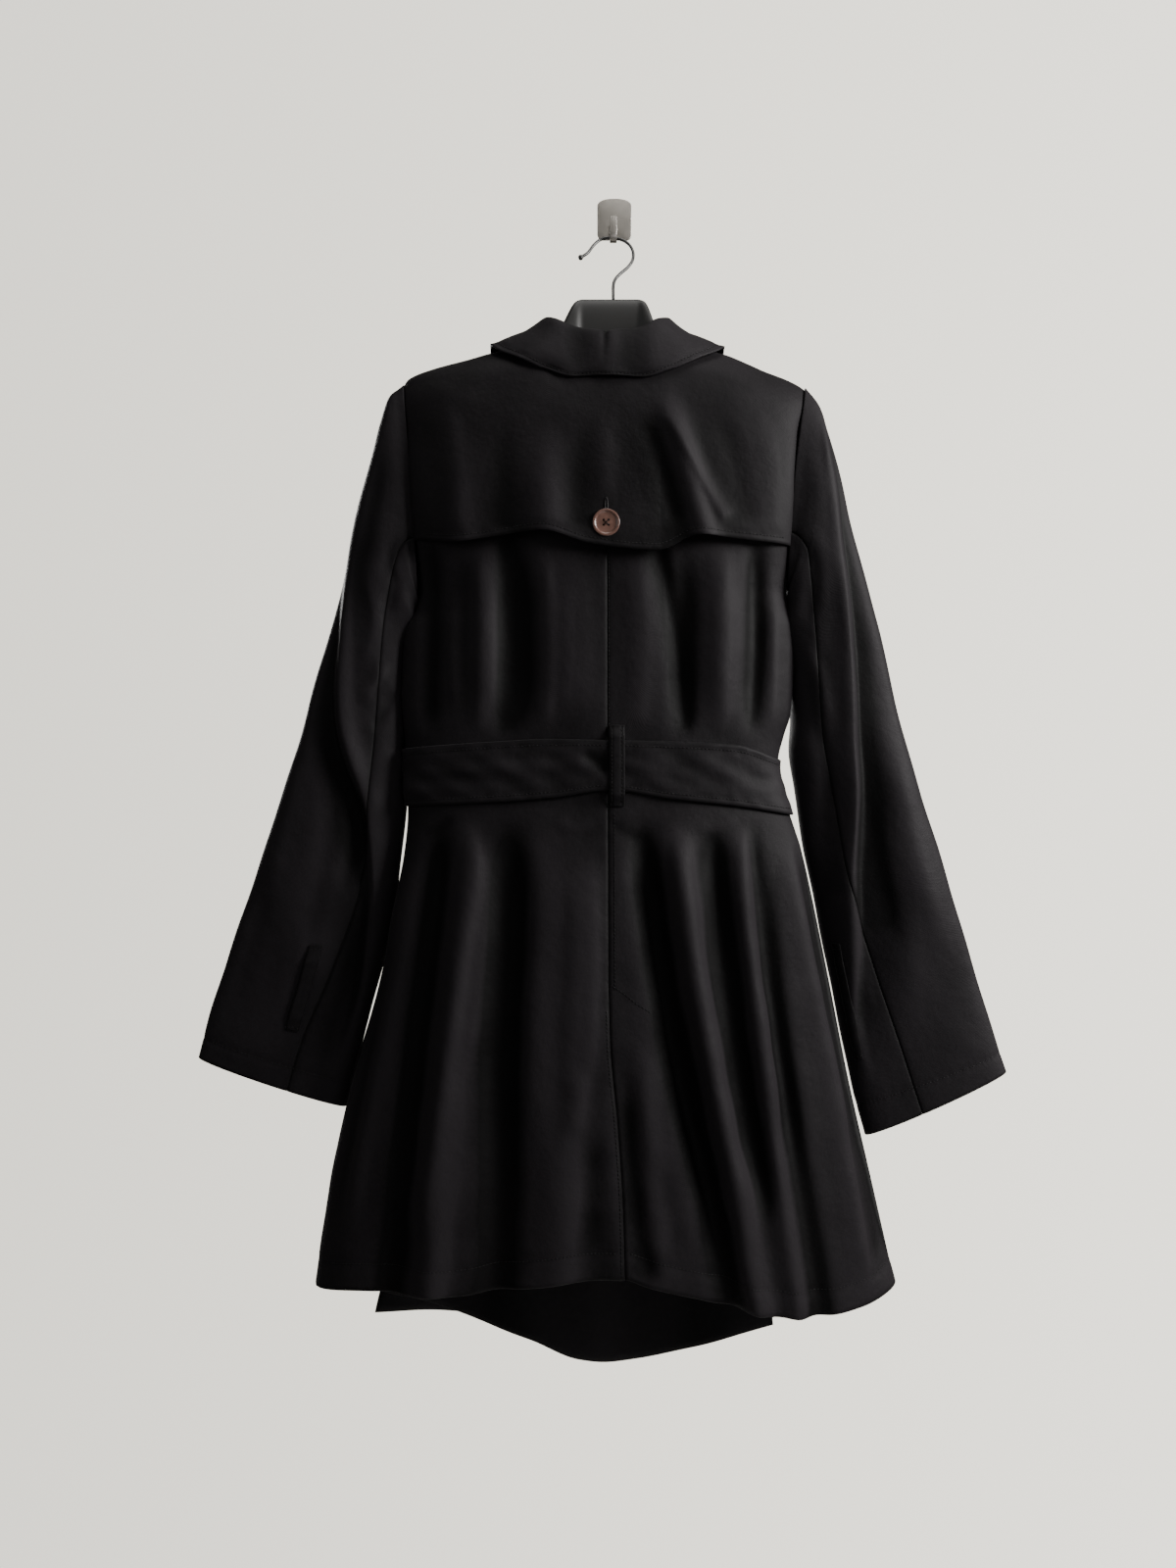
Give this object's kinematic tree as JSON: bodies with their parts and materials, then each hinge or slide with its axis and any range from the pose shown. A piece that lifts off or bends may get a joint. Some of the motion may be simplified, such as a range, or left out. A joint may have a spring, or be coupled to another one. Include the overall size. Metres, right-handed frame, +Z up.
{
  "type": "trench coat on a hanger and wall hook",
  "caption": "Belted trench coat hanging by its shoulders on a plastic hanger from a small wall hook, back outward, sleeves flared.",
  "frame": {"origin": "middle of the back face of the wall hook's plate, where the hook is stuck to the wall", "axes": "+Z up, -Y out of the wall towards the viewer, who sees the coat's back, +X to the viewer's right, which is the wearer's right"},
  "size_m": [0.7959, 0.1116, 1.163],
  "materials": {
    "shell_cloth": "black fine twill with a soft satin lustre",
    "button": "dark brown polished resin",
    "hanger_plastic": "matt black moulded plastic",
    "hanger_wire": "black coated wire",
    "hook_plate": "brushed steel"
  },
  "bodies": {
    "root": {"back_left": "shell_cloth", "back_right": "shell_cloth", "back_vent_extension": "shell_cloth", "storm_flap": "shell_cloth", "front_left": "shell_cloth", "front_right": "shell_cloth", "lapel_left": "shell_cloth", "lapel_right": "shell_cloth", "collar_stand": "shell_cloth", "collar_fall": "shell_cloth", "sleeve_top_left": "shell_cloth", "sleeve_under_left": "shell_cloth", "sleeve_top_right": "shell_cloth", "sleeve_under_right": "shell_cloth", "sleeve_loop_left": "shell_cloth", "sleeve_loop_right": "shell_cloth", "belt": "shell_cloth", "belt_knot": "shell_cloth", "belt_end_left": "shell_cloth", "belt_end_right": "shell_cloth", "belt_loop_back": "shell_cloth", "back_button": "button", "front_button_1_left": "button", "front_button_1_right": "button", "front_button_2_left": "button", "front_button_2_right": "button", "front_button_3_left": "button", "front_button_3_right": "button", "hanger_body": "hanger_plastic", "hanger_hook": "hanger_wire", "wall_hook": "hook_plate"}
  },
  "joints": []
}
